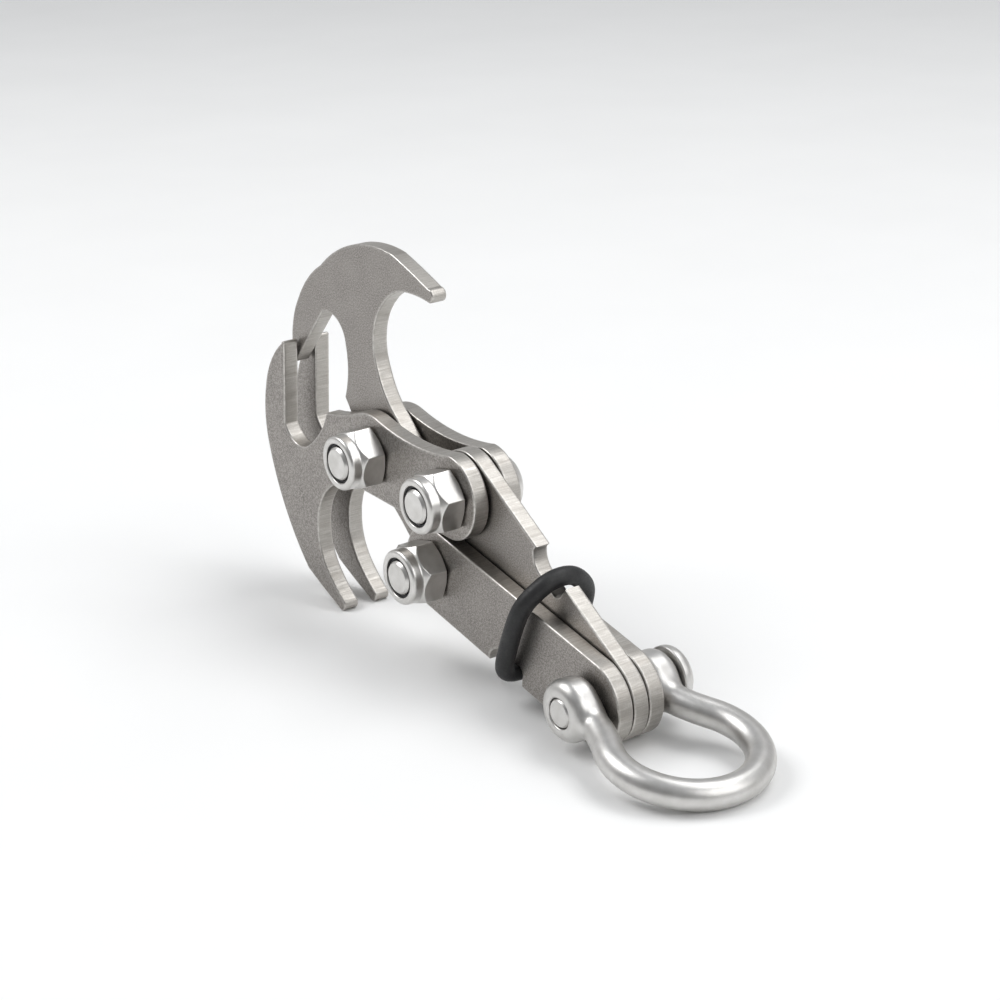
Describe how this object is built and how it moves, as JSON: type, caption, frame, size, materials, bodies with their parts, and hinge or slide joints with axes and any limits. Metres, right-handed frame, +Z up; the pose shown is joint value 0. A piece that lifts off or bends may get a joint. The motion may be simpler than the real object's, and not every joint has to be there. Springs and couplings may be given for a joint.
{
  "type": "folding grapnel hook",
  "caption": "Folding flat-plate grapnel hook whose mirrored claws open on a scissor linkage, with a rubber lock ring and a bow shackle.",
  "frame": {"origin": "centre of the footprint, on the surface that the lower claw tips and the shackle's crown rest on", "axes": "+Z up, +X towards the shackle, Y across the plates with the lock nuts on the -Y side"},
  "size_m": [0.1278, 0.029, 0.0702],
  "materials": {
    "plate_steel": "satin, blasted and tumbled",
    "fastener_steel": "polished",
    "washer_steel": "satin",
    "insert_nylon": "matte",
    "shackle_steel": "satin polished",
    "ring_rubber": "matte"
  },
  "bodies": {
    "lower_link": {"link_plate_near": "plate_steel", "link_plate_far": "plate_steel", "lower_bolt": "fastener_steel", "lower_nut": "fastener_steel", "lower_insert": "insert_nylon", "lock_ring": "ring_rubber"},
    "upper_jaw": {"claw_plate_middle": "plate_steel"},
    "lower_jaw": {"claw_plate_near": "plate_steel", "claw_plate_far": "plate_steel", "main_bolt": "fastener_steel", "main_nut": "fastener_steel", "main_insert": "insert_nylon", "main_washer_near": "washer_steel", "main_washer_far": "washer_steel", "upper_bolt": "fastener_steel", "upper_nut": "fastener_steel", "upper_insert": "insert_nylon", "upper_washer_near": "washer_steel", "upper_washer_far": "washer_steel"},
    "upper_link": {"link_plate_middle": "plate_steel"},
    "shackle": {"shackle_bow": "shackle_steel", "shackle_pin": "shackle_steel"}
  },
  "joints": [
    {"name": "jaw_spread", "type": "hinge", "parent": "upper_jaw", "child": "lower_jaw", "pos_m": [-0.02857, 0, 0.03348], "axis": [0, -1, 0], "range_deg": [0, 68]},
    {"name": "lower_link_swing", "type": "hinge", "parent": "lower_link", "child": "upper_jaw", "pos_m": [-0.01142, 0, 0.01741], "axis": [0, 1, 0], "range_deg": [-0.5, 50.5]},
    {"name": "upper_link_swing", "type": "hinge", "parent": "lower_link", "child": "upper_link", "pos_m": [0.03198, 0, 0.00759], "axis": [0, 1, 0], "range_deg": [-0.5, 31.5], "deforming": ["lock_ring"]},
    {"name": "shackle_swing", "type": "hinge", "parent": "lower_link", "child": "shackle", "pos_m": [0.03198, 0, 0.00759], "axis": [0, 1, 0], "range_deg": [-100, 100]}
  ],
  "couplings": [
    {"joint": "lower_link_swing", "follows": "jaw_spread", "ratio": 0.726},
    {"joint": "upper_link_swing", "follows": "jaw_spread", "ratio": 0.452}
  ]
}
